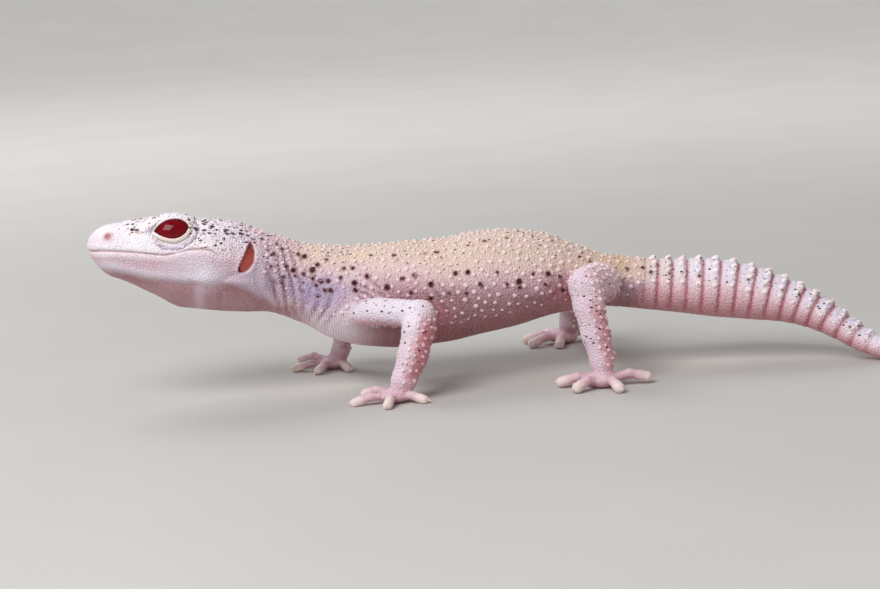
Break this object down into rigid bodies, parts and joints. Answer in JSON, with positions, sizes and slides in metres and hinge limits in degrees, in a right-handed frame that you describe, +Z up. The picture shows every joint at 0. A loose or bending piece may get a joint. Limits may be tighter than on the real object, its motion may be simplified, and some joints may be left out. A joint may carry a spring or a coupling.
{
  "type": "leopard gecko",
  "caption": "Life-size still model of a pale, red-eyed leopard gecko standing on all four feet with its ringed tail curving down to the ground.",
  "frame": {"origin": "on the ground under the middle of the whole animal", "axes": "+X towards the tail tip, the snout towards -X; +Y towards the animal's right side; +Z up"},
  "size_m": [0.1872, 0.0699, 0.0414],
  "materials": {
    "skin": "soft, slightly translucent pale pink skin, creamy on the back, with small dark specks",
    "eye": "wet, glossy deep red",
    "eardrum": "thin moist brick-red membrane"
  },
  "bodies": {
    "root": {"head": "skin", "lower_jaw": "skin", "neck": "skin", "trunk": "skin", "tail_base": "skin", "tail_middle": "skin", "tail_tip": "skin", "upper_arm_left": "skin", "upper_arm_right": "skin", "forearm_left": "skin", "forearm_right": "skin", "forefoot_left": "skin", "forefoot_right": "skin", "thigh_left": "skin", "thigh_right": "skin", "shank_left": "skin", "shank_right": "skin", "hindfoot_left": "skin", "hindfoot_right": "skin", "eye_left": "eye", "eye_right": "eye", "eardrum_left": "eardrum", "eardrum_right": "eardrum"}
  },
  "joints": []
}
